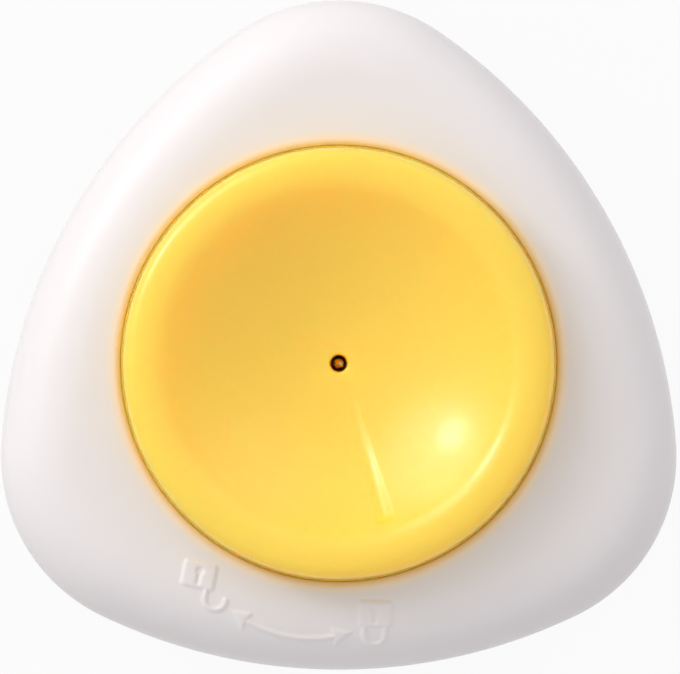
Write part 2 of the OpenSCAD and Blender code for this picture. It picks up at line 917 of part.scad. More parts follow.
shell();
lock_collar();
collar_screws();
detent_spring();
press_cup();
cup_carrier();
carrier_screws();
thrust_washer();
return_spring();
needle_post();
post_screws();
needle();
base_cover();
cover_screws();
magnet();
magnet_pad();
foot_strip(0);  // foot_strip_1
foot_strip(1);  // foot_strip_2
foot_strip(2);  // foot_strip_3
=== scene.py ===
import math
import bmesh
import bpy
from mathutils import Matrix, Vector


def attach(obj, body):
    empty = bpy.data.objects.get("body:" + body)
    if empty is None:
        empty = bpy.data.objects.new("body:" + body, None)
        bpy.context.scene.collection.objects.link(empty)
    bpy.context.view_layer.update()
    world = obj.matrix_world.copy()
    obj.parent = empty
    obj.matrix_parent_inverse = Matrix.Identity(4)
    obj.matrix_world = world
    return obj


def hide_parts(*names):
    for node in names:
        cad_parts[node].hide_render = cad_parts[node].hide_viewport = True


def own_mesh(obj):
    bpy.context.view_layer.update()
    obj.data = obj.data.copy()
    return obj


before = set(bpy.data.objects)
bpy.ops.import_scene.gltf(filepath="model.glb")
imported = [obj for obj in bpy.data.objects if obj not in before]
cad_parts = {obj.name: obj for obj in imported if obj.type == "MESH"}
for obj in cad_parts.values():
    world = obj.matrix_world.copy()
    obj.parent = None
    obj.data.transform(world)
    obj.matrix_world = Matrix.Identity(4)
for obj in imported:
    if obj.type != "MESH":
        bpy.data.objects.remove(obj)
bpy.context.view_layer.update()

mm = 0.001
mergeGap = 0.004 * mm  # points closer than this become one
zAxis = Vector((0, 0, 1))
print("frame loaded:", len(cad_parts), "nodes")


def cosDeg(degrees):
    return math.cos(math.radians(degrees))


def sinDeg(degrees):
    return math.sin(math.radians(degrees))


def polar(radius, degrees, z=0.0):
    return Vector((radius * cosDeg(degrees), radius * sinDeg(degrees), z))


def arcPoints(centre, radius, start, stop, count):
    turns = [start + (stop - start) * i / count for i in range(count + 1)]
    return [(centre[0] + radius * cosDeg(a), centre[1] + radius * sinDeg(a)) for a in turns]


def smoothStep(low, high, x):
    t = min(1.0, max(0.0, (x - low) / (high - low)))
    return t * t * (3 - 2 * t)


def vertsOf(geometry):
    return [g for g in geometry if isinstance(g, bmesh.types.BMVert)]


def edgesOf(geometry):
    return [g for g in geometry if isinstance(g, bmesh.types.BMEdge)]


def intoScene(name, data):
    thing = bpy.data.objects.new(name, data)
    bpy.context.scene.collection.objects.link(thing)
    return thing


def meshFrom(bm, name, material):
    mesh = bpy.data.meshes.new(name)
    bm.to_mesh(mesh)
    bm.free()
    mesh.materials.append(material)
    return mesh


def finishPiece(bm, name, body, nodeName, material, sharpAt=32):
    bmesh.ops.remove_doubles(bm, verts=bm.verts, dist=mergeGap)
    bmesh.ops.recalc_face_normals(bm, faces=bm.faces)
    mesh = meshFrom(bm, name, material)
    for face in mesh.polygons:
        face.use_smooth = True
    mesh.set_sharp_from_angle(angle=math.radians(sharpAt))
    piece = intoScene(name, mesh)
    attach(piece, body)
    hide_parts(nodeName)
    return piece


def chain(bm, points):
    # a row of points joined by edges, ready to spin
    verts = [bm.verts.new(p) for p in points]
    edges = [bm.edges.new(pair) for pair in zip(verts, verts[1:])]
    return verts + edges


def turned(bm, profile, steps, centre=Vector((0, 0, 0))):
    # profile points are (radius, height), in mm
    row = chain(bm, [(centre + Vector((r, 0, z))) * mm for r, z in profile])
    bmesh.ops.spin(bm, geom=row, cent=centre * mm, axis=zAxis, angle=math.tau, steps=steps, use_merge=True)


def tube(bm, centre, outer, inner, low, high, steps=40):
    turned(bm, [(inner, low), (outer, low), (outer, high), (inner, high), (inner, low)], steps, centre)


def addNode(tree, kind, values=None, **settings):
    node = tree.nodes.new("ShaderNode" + kind)
    for label, setting in settings.items():
        setattr(node, label, setting)
    for label, value in (values or {}).items():
        node.inputs[label].default_value = value
    return node


def wire(tree, *joins):
    # each join is a node, its output, the next node and its input
    for source, output, target, socket in joins:
        tree.links.new(source.outputs[output], target.inputs[socket])


def newGroup(name, inputs):
    # an effect that puts out a colour, a roughness and a height
    group = bpy.data.node_groups.new(name, "ShaderNodeTree")
    for label, kind, value in inputs:
        socket = group.interface.new_socket(name=label, in_out="INPUT", socket_type="NodeSocket" + kind)
        socket.default_value = value
    for label, kind in (("Color", "Color"), ("Roughness", "Float"), ("Height", "Float")):
        group.interface.new_socket(name=label, in_out="OUTPUT", socket_type="NodeSocket" + kind)
    return group, group.nodes.new("NodeGroupInput"), group.nodes.new("NodeGroupOutput")


# moulded plastic skin: spans are the part of a noise that its ramp takes
skin = {
    "driftDetail": 3.0, "rippleDetail": 1.5, "rubDetail": 2.0, "rubScale": 420.0,
    "rubSpan": (0.45, 0.75), "glossSpan": (0.3, 0.7),
}


def mouldedGroup():
    # soft tone drift, gloss drift, fine ripple and dull rubbed spots
    group, inp, out = newGroup("mouldedSkin", (
        ("Tone A", "Color", (1, 1, 1, 1)), ("Tone B", "Color", (1, 1, 1, 1)),
        ("Drift Scale", "Float", 60.0), ("Ripple Scale", "Float", 900.0),
        ("Gloss Low", "Float", 0.2), ("Gloss High", "Float", 0.3), ("Rub", "Float", 0.05)))
    coord = addNode(group, "TexCoord")
    drift = addNode(group, "TexNoise", {"Detail": skin["driftDetail"]})
    ripple = addNode(group, "TexNoise", {"Detail": skin["rippleDetail"]})
    rub = addNode(group, "TexNoise", {"Scale": skin["rubScale"], "Detail": skin["rubDetail"]})
    tone = addNode(group, "Mix", data_type="RGBA")
    gloss = addNode(group, "MapRange", {"From Min": skin["glossSpan"][0], "From Max": skin["glossSpan"][1]})
    rubRamp = addNode(group, "MapRange", {"From Min": skin["rubSpan"][0], "From Max": skin["rubSpan"][1]})
    rubAmount = addNode(group, "Math", operation="MULTIPLY")
    addRub = addNode(group, "Math", operation="ADD")
    for noise in (drift, ripple, rub):
        wire(group, (coord, "Object", noise, "Vector"))
    wire(group,
         (inp, "Drift Scale", drift, "Scale"), (inp, "Ripple Scale", ripple, "Scale"),
         (drift, "Fac", tone, "Factor"), (inp, "Tone A", tone, "A"), (inp, "Tone B", tone, "B"),
         (drift, "Fac", gloss, "Value"),
         (inp, "Gloss Low", gloss, "To Min"), (inp, "Gloss High", gloss, "To Max"),
         (rub, "Fac", rubRamp, "Value"), (rubRamp, "Result", rubAmount, 0), (inp, "Rub", rubAmount, 1),
         (gloss, "Result", addRub, 0), (rubAmount, "Value", addRub, 1),
         (tone, "Result", out, "Color"), (addRub, "Value", out, "Roughness"), (ripple, "Fac", out, "Height"))
    return group


# bare wire and turned steel
metal = {"lineDetail": 3.0, "patchDetail": 3.0, "patchScale": 420.0, "roughSpan": (0.3, 0.7)}


def drawnGroup():
    # drawing lines and dull patches
    group, inp, out = newGroup("drawnMetal", (
        ("Tone A", "Color", (1, 1, 1, 1)), ("Tone B", "Color", (1, 1, 1, 1)),
        ("Line Scale", "Vector", (900.0, 900.0, 90.0)),
        ("Rough Low", "Float", 0.18), ("Rough High", "Float", 0.34)))
    coord = addNode(group, "TexCoord")
    stretch = addNode(group, "VectorMath", operation="MULTIPLY")
    lines = addNode(group, "TexNoise", {"Scale": 1.0, "Detail": metal["lineDetail"]})
    patches = addNode(group, "TexNoise", {"Scale": metal["patchScale"], "Detail": metal["patchDetail"]})
    tone = addNode(group, "Mix", data_type="RGBA")
    rough = addNode(group, "MapRange", {"From Min": metal["roughSpan"][0], "From Max": metal["roughSpan"][1]})
    wire(group,
         (coord, "Object", stretch, 0), (inp, "Line Scale", stretch, 1),
         (stretch, "Vector", lines, "Vector"), (coord, "Object", patches, "Vector"),
         (patches, "Fac", tone, "Factor"), (inp, "Tone A", tone, "A"), (inp, "Tone B", tone, "B"),
         (lines, "Fac", rough, "Value"),
         (inp, "Rough Low", rough, "To Min"), (inp, "Rough High", rough, "To Max"),
         (tone, "Result", out, "Color"), (rough, "Result", out, "Roughness"), (lines, "Fac", out, "Height"))
    return group


def paintedGlowEdge(tree, effect, glow):
    # painted glow: a peach tint that stands in for light the yellow cup bounces onto the white plastic, fading
    # outwards from the needle axis over the effect's own colour
    coord = addNode(tree, "TexCoord")
    flat = addNode(tree, "VectorMath", {1: (1, 1, 0)}, operation="MULTIPLY")
    reach = addNode(tree, "VectorMath", operation="LENGTH")
    ramp = {"From Min": glow["from"] * mm, "From Max": glow["to"] * mm, "To Min": glow["share"], "To Max": 0.0}
    fade = addNode(tree, "MapRange", ramp, interpolation_type="SMOOTHERSTEP")
    tint = addNode(tree, "Mix", {"B": glow["tone"]}, data_type="RGBA")
    wire(tree,
         (coord, "Object", flat, 0), (flat, "Vector", reach, 0), (reach, "Value", fade, "Value"),
         (fade, "Result", tint, "Factor"), (effect, "Color", tint, "A"))
    return tint


bumpStrength = 0.6


def finish(name, group, effect, shader, bump, glow=None):
    material = bpy.data.materials.new(name)
    material.use_nodes = True
    tree = material.node_tree
    bsdf = tree.nodes["Principled BSDF"]
    bsdf.subsurface_method = "BURLEY"
    for label, value in shader.items():
        bsdf.inputs[label].default_value = value
    surface = addNode(tree, "Group", effect, node_tree=group)
    relief = addNode(tree, "Bump", {"Strength": bumpStrength, "Distance": bump * mm})
    # where a glow is given, the painted bounce light goes over the base colour
    colour = (paintedGlowEdge(tree, surface, glow), "Result") if glow else (surface, "Color")
    wire(tree,
         (*colour, bsdf, "Base Color"), (surface, "Roughness", bsdf, "Roughness"),
         (surface, "Height", relief, "Height"), (relief, "Normal", bsdf, "Normal"))
    return material


# tones are linear, noise scales are per metre, bump heights in mm
skinGroup = mouldedGroup()
metalGroup = drawnGroup()
white = {
    "group": skinGroup, "bump": 0.006,
    "effect": {"Tone A": (0.785, 0.748, 0.756, 1), "Tone B": (0.815, 0.778, 0.79, 1), "Drift Scale": 45.0,
               "Ripple Scale": 350.0, "Gloss Low": 0.4, "Gloss High": 0.46, "Rub": 0.02},
    "shader": {"IOR": 1.5, "Subsurface Weight": 0.15, "Subsurface Radius": (1.0, 0.8, 0.6),
               "Subsurface Scale": 0.0015},
}
# painted glow: a peach tint for the light that the yellow cup bounces onto the white plastic round the
# opening, in mm from the needle axis
paintedMouthGlow = {"from": 21.25, "to": 22.9, "share": 0.85, "tone": (0.98, 0.78, 0.54, 1)}
yolk = {
    "group": skinGroup, "bump": 0.006,
    "effect": {"Tone A": (0.935, 0.63, 0.05, 1), "Tone B": (0.95, 0.68, 0.066, 1), "Drift Scale": 55.0,
               "Ripple Scale": 350.0, "Gloss Low": 0.38, "Gloss High": 0.44, "Rub": 0.02},
    "shader": {"IOR": 1.58, "Coat Weight": 0.4, "Coat Roughness": 0.16, "Subsurface Weight": 0.95,
               "Subsurface Radius": (1.0, 0.22, 0.04), "Subsurface Scale": 0.017},
}
acetal = {
    "group": skinGroup, "bump": 0.02, "shader": {"IOR": 1.48},
    "effect": {"Tone A": (0.78, 0.79, 0.78, 1), "Tone B": (0.84, 0.84, 0.83, 1), "Drift Scale": 80.0,
               "Ripple Scale": 1500.0, "Gloss Low": 0.38, "Gloss High": 0.5, "Rub": 0.1},
}
rubber = {
    "group": skinGroup, "bump": 0.05, "shader": {"IOR": 1.5},
    "effect": {"Tone A": (0.03, 0.03, 0.032, 1), "Tone B": (0.055, 0.055, 0.058, 1), "Drift Scale": 150.0,
               "Ripple Scale": 3200.0, "Gloss Low": 0.62, "Gloss High": 0.8, "Rub": 0.12},
}
steel = {
    "group": metalGroup, "bump": 0.01, "shader": {"Metallic": 1.0},
    "effect": {"Tone A": (0.52, 0.53, 0.55, 1), "Tone B": (0.62, 0.63, 0.64, 1)},
}
nickel = {
    "group": metalGroup, "bump": 0.01, "shader": {"Metallic": 1.0},
    "effect": {"Tone A": (0.55, 0.54, 0.52, 1), "Tone B": (0.62, 0.61, 0.59, 1),
               "Line Scale": (300.0, 300.0, 300.0), "Rough Low": 0.12, "Rough High": 0.22},
}
finishes = {
    "whiteGloss": finish("whiteGloss", **white),
    # white plastic with a painted glow of bounced yellow light round the opening
    "whitePaintedGlow": finish("whitePaintedGlow", glow=paintedMouthGlow, **white),
    "yolkGloss": finish("yolkGloss", **yolk),
    "acetal": finish("acetal", **acetal),
    "rubber": finish("rubber", **rubber),
    "steel": finish("steel", **steel),
    "nickel": finish("nickel", **nickel),
}
# every node of the frame gets a finish, also those that a new piece stands for
nodeFinish = {
    "shell": "whiteGloss", "base_cover": "whiteGloss", "press_cup": "yolkGloss",
    "lock_collar": "acetal", "cup_carrier": "acetal", "thrust_washer": "acetal", "needle_post": "acetal",
    "collar_screws": "steel", "carrier_screws": "steel", "post_screws": "steel", "cover_screws": "steel",
    "detent_spring": "steel", "return_spring": "steel", "needle": "steel", "magnet": "nickel",
    "magnet_pad": "rubber", "foot_strip_1": "rubber", "foot_strip_2": "rubber", "foot_strip_3": "rubber",
}
for nodeName, finishName in nodeFinish.items():
    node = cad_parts[nodeName]
    node.data.materials.clear()
    node.data.materials.append(finishes[finishName])
print("finishes made:", len(finishes))

# casing, in mm and degrees: three side arcs and three corner arcs seen from above
casing = {
    "sideReach": 30.0, "cornerReach": 35.5, "cornerRadius": 17.3, "sideSteps": 60, "cornerSteps": 32,
    "bodyHeight": 27.5, "partingZ": 6.0, "wall": 2.0, "draft": 1.5,
    "wallLevels": (18.0, 14.0, 10.0, 7.5),  # heights of the rings on the wall
    "crownRadius": 10.0, "crownSlope": 20.0, "crownSteps": 8,
    "shoulderRadius": 5.6, "shoulderSteps": 18,
    "flatBand": 0.35, "flatSteps": 6,
    "mouthRadius": 21.2, "mouthRound": 0.7, "mouthSteps": 6,
    "lipRound": 0.3, "lipSteps": 4,
    "bossAt": 28.6, "bossRadius": 2.6, "bossBore": 1.15, "bossLow": 5.35, "bossInto": 0.5,
}
bulge = casing["cornerReach"] - casing["sideReach"]
cornerAt = casing["cornerReach"] - casing["cornerRadius"]
sideAt = (2 * bulge * cornerAt - bulge * bulge) / (cornerAt - 2 * bulge)
sideRadius = casing["sideReach"] + sideAt
sideHalf = math.degrees(math.atan2(cornerAt * sinDeg(60), sideAt + cornerAt * cosDeg(60)))
cornerHalf = 60 - sideHalf
crownNormal = 90 - casing["crownSlope"]
arcStep = casing["crownRadius"] - casing["shoulderRadius"]
draftTan = math.tan(math.radians(casing["draft"]))
wallTopZ = (casing["bodyHeight"] - casing["crownRadius"] + arcStep * sinDeg(crownNormal)
            + casing["shoulderRadius"] * sinDeg(casing["draft"]))
flatInset = (arcStep * cosDeg(crownNormal) + casing["shoulderRadius"] * cosDeg(casing["draft"])
             + (wallTopZ - casing["partingZ"]) * draftTan)
crownCentre = (-flatInset, casing["bodyHeight"] - casing["crownRadius"])
shoulderCentre = (crownCentre[0] + arcStep * cosDeg(crownNormal),
                  crownCentre[1] + arcStep * sinDeg(crownNormal))
ceilingZ = casing["bodyHeight"] - casing["wall"]


def outlineArcs():
    for i in range(3):
        facing = 30 + 120 * i
        yield polar(-sideAt, facing), sideRadius, facing - sideHalf, 2 * sideHalf, casing["sideSteps"]
        facing = 90 + 120 * i
        yield (polar(cornerAt, facing), casing["cornerRadius"], facing - cornerHalf, 2 * cornerHalf,
               casing["cornerSteps"])


def sweepOutline(bm, profile):
    # profile points are (distance outwards from the outline, height), in mm
    for centre, radius, start, sweep, steps in outlineArcs():
        points = [(centre + polar(radius + out, start, z)) * mm for out, z in profile]
        bmesh.ops.spin(bm, geom=chain(bm, points), cent=centre * mm, axis=zAxis,
                       angle=math.radians(sweep), steps=steps, use_merge=False)
    bmesh.ops.remove_doubles(bm, verts=bm.verts, dist=mergeGap)


def openLoop(bm, z, tolerance=0.01):
    return [e for e in bm.edges
            if e.is_boundary and all(abs(v.co.z - z * mm) < tolerance * mm for v in e.verts)]


def drawIn(bm, loop, radius, z, share=1.0):
    # pulls an open loop part of the way to a circle about the needle axis, and hands back the new loop
    grown = bmesh.ops.extrude_edge_only(bm, edges=loop)["geom"]
    for v in vertsOf(grown):
        flat = Vector((v.co.x, v.co.y, 0)).normalized() * radius
        v.co = v.co.lerp(Vector((flat.x, flat.y, z)) * mm, share)
    return edgesOf(grown)


def skinProfile(depth):
    # crown and shoulder, from the flat top down to the wall, depth below the outer skin
    crown = arcPoints(crownCentre, casing["crownRadius"] - depth, 90, crownNormal, casing["crownSteps"])
    shoulder = arcPoints(shoulderCentre, casing["shoulderRadius"] - depth, crownNormal, casing["draft"],
                         casing["shoulderSteps"])
    return crown + shoulder[1:]


def skinHeight(x, y):
    # height of the outer skin on the side that carries the marks
    inset = sideRadius - math.hypot(x, y - sideAt)
    past = flatInset - inset
    if past <= 0:
        return casing["bodyHeight"]
    if past <= casing["crownRadius"] * cosDeg(crownNormal):
        return crownCentre[1] + math.sqrt(casing["crownRadius"] ** 2 - past * past)
    past = -inset - shoulderCentre[0]
    return shoulderCentre[1] + math.sqrt(casing["shoulderRadius"] ** 2 - past * past)


# raised padlocks and turn arrow on the side under the pointer, in mm and degrees
marks = {
    "height": 0.2, "edge": 0.5, "stroke": 0.45, "cuts": 5,
    "reach": 24.6, "closedAt": -81.7, "closedTilt": -2.0, "openAt": -123.4, "openTilt": -12.0,
    "lockWide": 3.2, "lockHigh": 2.5, "lockRound": 0.3, "lockZone": 5.0,
    "shackleWide": 2.5, "shackleLong": 2.0, "swing": 2.0, "keyRadius": 0.35, "keyLong": 0.75,
    "arrowReach": 27.0, "arrowBend": 12.0, "arrowHalf": 21.0, "arrowShift": 2.2, "headLong": 1.7,
    "patch": (-17.6, 7.0, 1.5, 10.0),  # left and right ends, least and most inset from the outline
    "mouthGap": 0.05, "skinGap": 0.1,
}
farGap = 1.0  # clear of every mark, in mm


def boxGap(x, y, wide, high, rounding):
    qx, qy = abs(x) - wide / 2 + rounding, abs(y) - high / 2 + rounding
    return math.hypot(max(qx, 0), max(qy, 0)) + min(max(qx, qy), 0) - rounding


def strokeGap(x, y, ax, ay, bx, by, half):
    t = ((x - ax) * (bx - ax) + (y - ay) * (by - ay)) / ((bx - ax) ** 2 + (by - ay) ** 2)
    t = min(1.0, max(0.0, t))
    return math.hypot(x - ax - t * (bx - ax), y - ay - t * (by - ay)) - half


def padlockGap(x, y, at, tilt, swing, freeGap):
    middle = polar(marks["reach"], at)
    c, s = cosDeg(tilt), sinDeg(tilt)
    u = (x - middle.x) * c + (y - middle.y) * s
    v = -(x - middle.x) * s + (y - middle.y) * c
    if max(abs(u), abs(v)) > marks["lockZone"]:
        return farGap
    body = boxGap(u, v, marks["lockWide"], marks["lockHigh"], marks["lockRound"])
    key = min(math.hypot(u, v - marks["keyLong"] / 2) - marks["keyRadius"],
              strokeGap(u, v, 0, marks["keyLong"] / 2, 0, -marks["keyLong"], marks["keyRadius"] / 2))
    half, bend = marks["stroke"] / 2, marks["shackleWide"] / 2 - marks["stroke"] / 2
    leg = marks["shackleLong"] - marks["shackleWide"] / 2
    low = -marks["lockHigh"] / 2 - leg
    bow = abs(math.hypot(u - swing, v - low) - bend) - half if v <= low else farGap
    held = strokeGap(u, v, swing - bend, low, swing - bend, low + leg + half, half)
    free = strokeGap(u, v, swing + bend, low, swing + bend, low + leg + half - freeGap, half)
    return min(max(body, -key), bow, held, free)


def headGap(x, y, at, tipAt):
    tip = polar(marks["arrowBend"], tipAt)
    inner = polar(marks["arrowBend"] - marks["headLong"] / 2, at)
    outer = polar(marks["arrowBend"] + marks["headLong"] / 2, at)
    corners = [tip, inner, outer] if (inner - tip).cross(outer - tip).z > 0 else [tip, outer, inner]
    sides = []
    for a, b in zip(corners, corners[1:] + corners[:1]):
        along = (b - a).normalized()
        sides.append((x - a.x) * along.y - (y - a.y) * along.x)
    return max(sides)


def markRise(x, y):
    m = marks
    gap = min(padlockGap(x, y, m["closedAt"], m["closedTilt"], 0.0, 0.0),
              padlockGap(x, y, m["openAt"], m["openTilt"], m["swing"], m["stroke"] * 2))
    middle = (m["openAt"] + m["closedAt"]) / 2 + m["arrowShift"]
    turnFrom, turnTo = middle - m["arrowHalf"], middle + m["arrowHalf"]
    headTurn = math.degrees(m["headLong"] / m["arrowBend"])
    bend = polar(m["arrowReach"] - m["arrowBend"], middle)
    u, v = x - bend.x, y - bend.y
    if turnFrom <= math.degrees(math.atan2(v, u)) <= turnTo:
        gap = min(gap, abs(math.hypot(u, v) - m["arrowBend"]) - m["stroke"] / 2)
    gap = min(gap, headGap(u, v, turnFrom, turnFrom - headTurn), headGap(u, v, turnTo, turnTo + headTurn))
    return m["height"] * smoothStep(-m["edge"] / 2, m["edge"] / 2, -gap)


def inPatch(p):
    # on the outer skin, within the patch that carries the marks
    x, y = p.x / mm, p.y / mm
    left, right, nearest, furthest = marks["patch"]
    inset = sideRadius - math.hypot(x, y - sideAt)
    return (y < 0 and left < x < right and nearest < inset < furthest
            and math.hypot(x, y) > casing["mouthRadius"] + casing["mouthRound"] + marks["mouthGap"]
            and abs(p.z / mm - skinHeight(x, y)) < marks["skinGap"])


def raiseMarks(bm):
    faces = [f for f in bm.faces if all(inPatch(v.co) for v in f.verts)]
    edges = list(dict.fromkeys(e for f in faces for e in f.edges))  # each edge once, in a fixed order
    bmesh.ops.subdivide_edges(bm, edges=edges, cuts=marks["cuts"], use_grid_fill=True)
    for v in bm.verts:
        if inPatch(v.co):
            x, y = v.co.x / mm, v.co.y / mm
            v.co.z = (skinHeight(x, y) + markRise(x, y)) * mm


def makeShell():
    bm = bmesh.new()
    wall, lip, lowZ, topZ = casing["wall"], casing["lipRound"], casing["partingZ"], casing["bodyHeight"]
    outerWall = [(-(z - lowZ) * draftTan, z) for z in casing["wallLevels"]]
    innerWall = [(out - wall, z) for out, z in outerWall]
    foot = arcPoints((-lip, lowZ + lip), lip, 0, -90, casing["lipSteps"])
    foot += arcPoints((-wall + lip, lowZ + lip), lip, -90, -180, casing["lipSteps"])
    edge = -flatInset - casing["flatBand"]
    sweepOutline(bm, [(edge, topZ)] + skinProfile(0) + outerWall + foot
                 + innerWall[::-1] + skinProfile(wall)[::-1] + [(edge, ceilingZ)])
    # flat top, drawn in to the rounded edge of the round opening
    rim, mouth = casing["mouthRound"], casing["mouthRadius"]
    loop = openLoop(bm, topZ)
    for left in range(casing["flatSteps"], 1, -1):
        loop = drawIn(bm, loop, mouth + rim, topZ, 1 / left)
    for x, z in arcPoints((rim, topZ - rim), rim, 90, 180, casing["mouthSteps"]) + [(0, ceilingZ)]:
        loop = drawIn(bm, loop, mouth + x, z)
    drawIn(bm, [e for e in openLoop(bm, ceilingZ) if e not in loop], mouth, ceilingZ)
    raiseMarks(bm)
    for i in range(3):
        tube(bm, polar(casing["bossAt"], 90 + 120 * i), casing["bossRadius"], casing["bossBore"],
             casing["bossLow"], ceilingZ + casing["bossInto"])
    return finishPiece(bm, "casing_shell", "casing", "shell", finishes["whitePaintedGlow"])


shellPiece = makeShell()
print("shell swept:", len(shellPiece.data.polygons), "faces")

# press cup: bowl, rolled rim, skirt, needle hole and pointer groove, in mm and degrees
cup = {
    "radius": 20.9, "crestZ": 33.0, "wall": 2.0, "segments": 360, "sharpAt": 40,
    "bowlRadius": 25.0, "bowlRings": 76, "bellyRings": 16, "middleRings": 6,
    "rimOut": 1.9, "rimIn": 3.0, "rimFlat": 0.3, "rimSteps": 24, "rimInSteps": 12,
    "rimPower": 0.7,  # 1 is a plain ellipse, less makes the outer edge squarer
    "holeRadius": 0.9, "holeLow": 0.78, "holeRound": 0.22, "holeSteps": 4,
    "skirtTop": 29.0, "skirtLow": 22.0, "footZ": 18.4, "footRound": 0.3, "footSteps": 3,
    "beadOut": 21.19, "beadTop": 26.98, "beadLow": 26.2, "beadRound": 0.15, "beadSteps": 3, "beadSlope": 0.2,
    "seatInner": 5.05, "seatOuter": 7.95, "seatDrop": 1.0,
    "pointerAt": -73.5, "pointerFrom": 3.2, "pointerTo": 16.1, "pointerPower": 1.1,
    "pointerWide": (0.62, 1.0), "pointerDeep": (0.16, 0.34), "pointerFade": (0.06, 0.05),
    "bossAt": 16.6, "bossTurn": 85.0, "bossRadius": 2.6, "bossBore": 1.15, "bossLow": 20.95, "bossTop": 30.9,
}
rimOutCentre = (cup["radius"] - cup["rimOut"], cup["crestZ"] - cup["rimOut"])
rimInCentre = (rimOutCentre[0] - cup["rimFlat"], cup["crestZ"] - cup["rimIn"])
rimReach = cup["bowlRadius"] + cup["rimIn"]
bowlZ = rimInCentre[1] + math.sqrt(rimReach * rimReach - rimInCentre[0] ** 2)
rimAngle = math.degrees(math.atan2(rimInCentre[1] - bowlZ, rimInCentre[0]))
bellyRadius = cup["bowlRadius"] + cup["wall"]


def underBowl(radius):
    # turn from the bowl's centre at which the belly has this radius
    return -90 + math.degrees(math.asin(radius / bellyRadius))


def bowlProfile():
    # needle hole, bowl and rolled rim, from the middle outwards
    low = cup["holeRadius"] + cup["holeRound"]
    lipZ = bowlZ - cup["bowlRadius"]
    startAngle = -90 + math.degrees(math.asin(low / cup["bowlRadius"]))
    points = [(cup["holeLow"], bowlZ - math.sqrt(bellyRadius ** 2 - cup["holeLow"] ** 2))]
    points += arcPoints((low, lipZ - cup["holeRound"]), cup["holeRound"], 180, 92, cup["holeSteps"])
    points += arcPoints((0, bowlZ), cup["bowlRadius"], startAngle, rimAngle, cup["bowlRings"])
    points += arcPoints(rimInCentre, cup["rimIn"], rimAngle + 180, 90, cup["rimInSteps"])[1:]
    for i in range(1, cup["rimSteps"] + 1):
        turn = 90 * i / cup["rimSteps"]
        across, up = sinDeg(turn) ** cup["rimPower"], max(cosDeg(turn), 0.0) ** cup["rimPower"]
        points.append((rimInCentre[0] + (cup["radius"] - rimInCentre[0]) * across,
                       rimOutCentre[1] + cup["rimOut"] * up))
    return points


def skirtProfile():
    # skirt with its guide bead, belly and spring seat, back to the needle hole
    wide, inside = cup["radius"], cup["radius"] - cup["wall"]
    bead, foot = cup["beadRound"], cup["footRound"]
    seatZ = bowlZ - bellyRadius - cup["seatDrop"]
    points = [(wide, cup["skirtTop"]), (wide, cup["beadTop"])]
    points += arcPoints((cup["beadOut"] - bead, cup["beadTop"] - bead), bead, 90, 0, cup["beadSteps"])
    points += [(cup["beadOut"], cup["beadLow"]), (wide, cup["beadLow"] - cup["beadSlope"])]
    points += [(wide, cup["skirtLow"])]
    points += arcPoints((wide - foot, cup["footZ"] + foot), foot, 0, -90, cup["footSteps"])
    points += [(inside, cup["footZ"]), (inside, rimInCentre[1] - cup["wall"])]
    points += arcPoints((0, bowlZ), bellyRadius, rimAngle, underBowl(cup["seatOuter"]), cup["bellyRings"])
    points += [(cup["seatOuter"], seatZ), (cup["seatInner"], seatZ)]
    points += arcPoints((0, bowlZ), bellyRadius, underBowl(cup["seatInner"]), underBowl(cup["holeLow"]),
                        cup["middleRings"])
    return points


def pressPointer(bm):
    # groove from near the hole out to the rim, wider and deeper outwards
    along = polar(1, cup["pointerAt"])
    across = polar(1, cup["pointerAt"] + 90)
    middle = Vector((0, 0, bowlZ))
    (wideFrom, wideTo), (deepFrom, deepTo) = cup["pointerWide"], cup["pointerDeep"]
    fadeIn, fadeOut = cup["pointerFade"]
    onBowl = 0.02  # how close to the bowl a point has to be, in mm
    for v in bm.verts:
        p = v.co / mm
        out = p - middle
        if abs(out.length - cup["bowlRadius"]) > onBowl or p.z > cup["crestZ"]:
            continue
        share = (p.dot(along) - cup["pointerFrom"]) / (cup["pointerTo"] - cup["pointerFrom"])
        if not 0 < share < 1:
            continue
        aside = abs(p.dot(across)) / (wideFrom + (wideTo - wideFrom) * share)
        if aside < 1:
            deep = deepFrom + (deepTo - deepFrom) * share
            ends = smoothStep(0, fadeIn, share) * smoothStep(0, fadeOut, 1 - share)
            v.co += out.normalized() * deep * ends * (1 - aside ** 2) ** cup["pointerPower"] * mm


def addCupBosses(bm):
    # screw bosses under the bowl, each with its top sunk into the belly
    sunk = bellyRadius - cup["wall"] / 2
    halfway = (cup["bossLow"] + cup["bossTop"]) / 2
    for i in range(3):
        known = set(bm.verts)
        tube(bm, polar(cup["bossAt"], cup["bossTurn"] + 120 * i), cup["bossRadius"], cup["bossBore"],
             cup["bossLow"], cup["bossTop"])
        for v in set(bm.verts) - known:
            if v.co.z > halfway * mm:
                r = math.hypot(v.co.x, v.co.y) / mm
                v.co.z = min(bowlZ - math.sqrt(sunk ** 2 - r * r), cup["bossTop"]) * mm


def makeCup():
    bm = bmesh.new()
    turned(bm, bowlProfile() + skirtProfile(), cup["segments"])
    pressPointer(bm)
    addCupBosses(bm)
    return finishPiece(bm, "yolk_cup", "cup", "press_cup", finishes["yolkGloss"],
                       sharpAt=cup["sharpAt"])


cupPiece = makeCup()
print("cup spun:", len(cupPiece.data.polygons), "faces")

# needle with a drawn shank, pressed head and short ground point, in mm and degrees
needle = {
    "headRadius": 2.0, "headZ": (6.35, 7.15), "headEdge": 0.15, "steps": 64,
    "radius": 0.55, "shankZ": 14.0, "taperZ": 21.84,
    "groundZ": 23.9, "groundRadius": 0.54, "groundEdge": (0.01, 0.05),
    "noseRadius": 0.24, "noseFrom": 38, "noseSteps": 6, "tipZ": 24.84, "lean": 0.2, "leanBelow": 0.1,
}


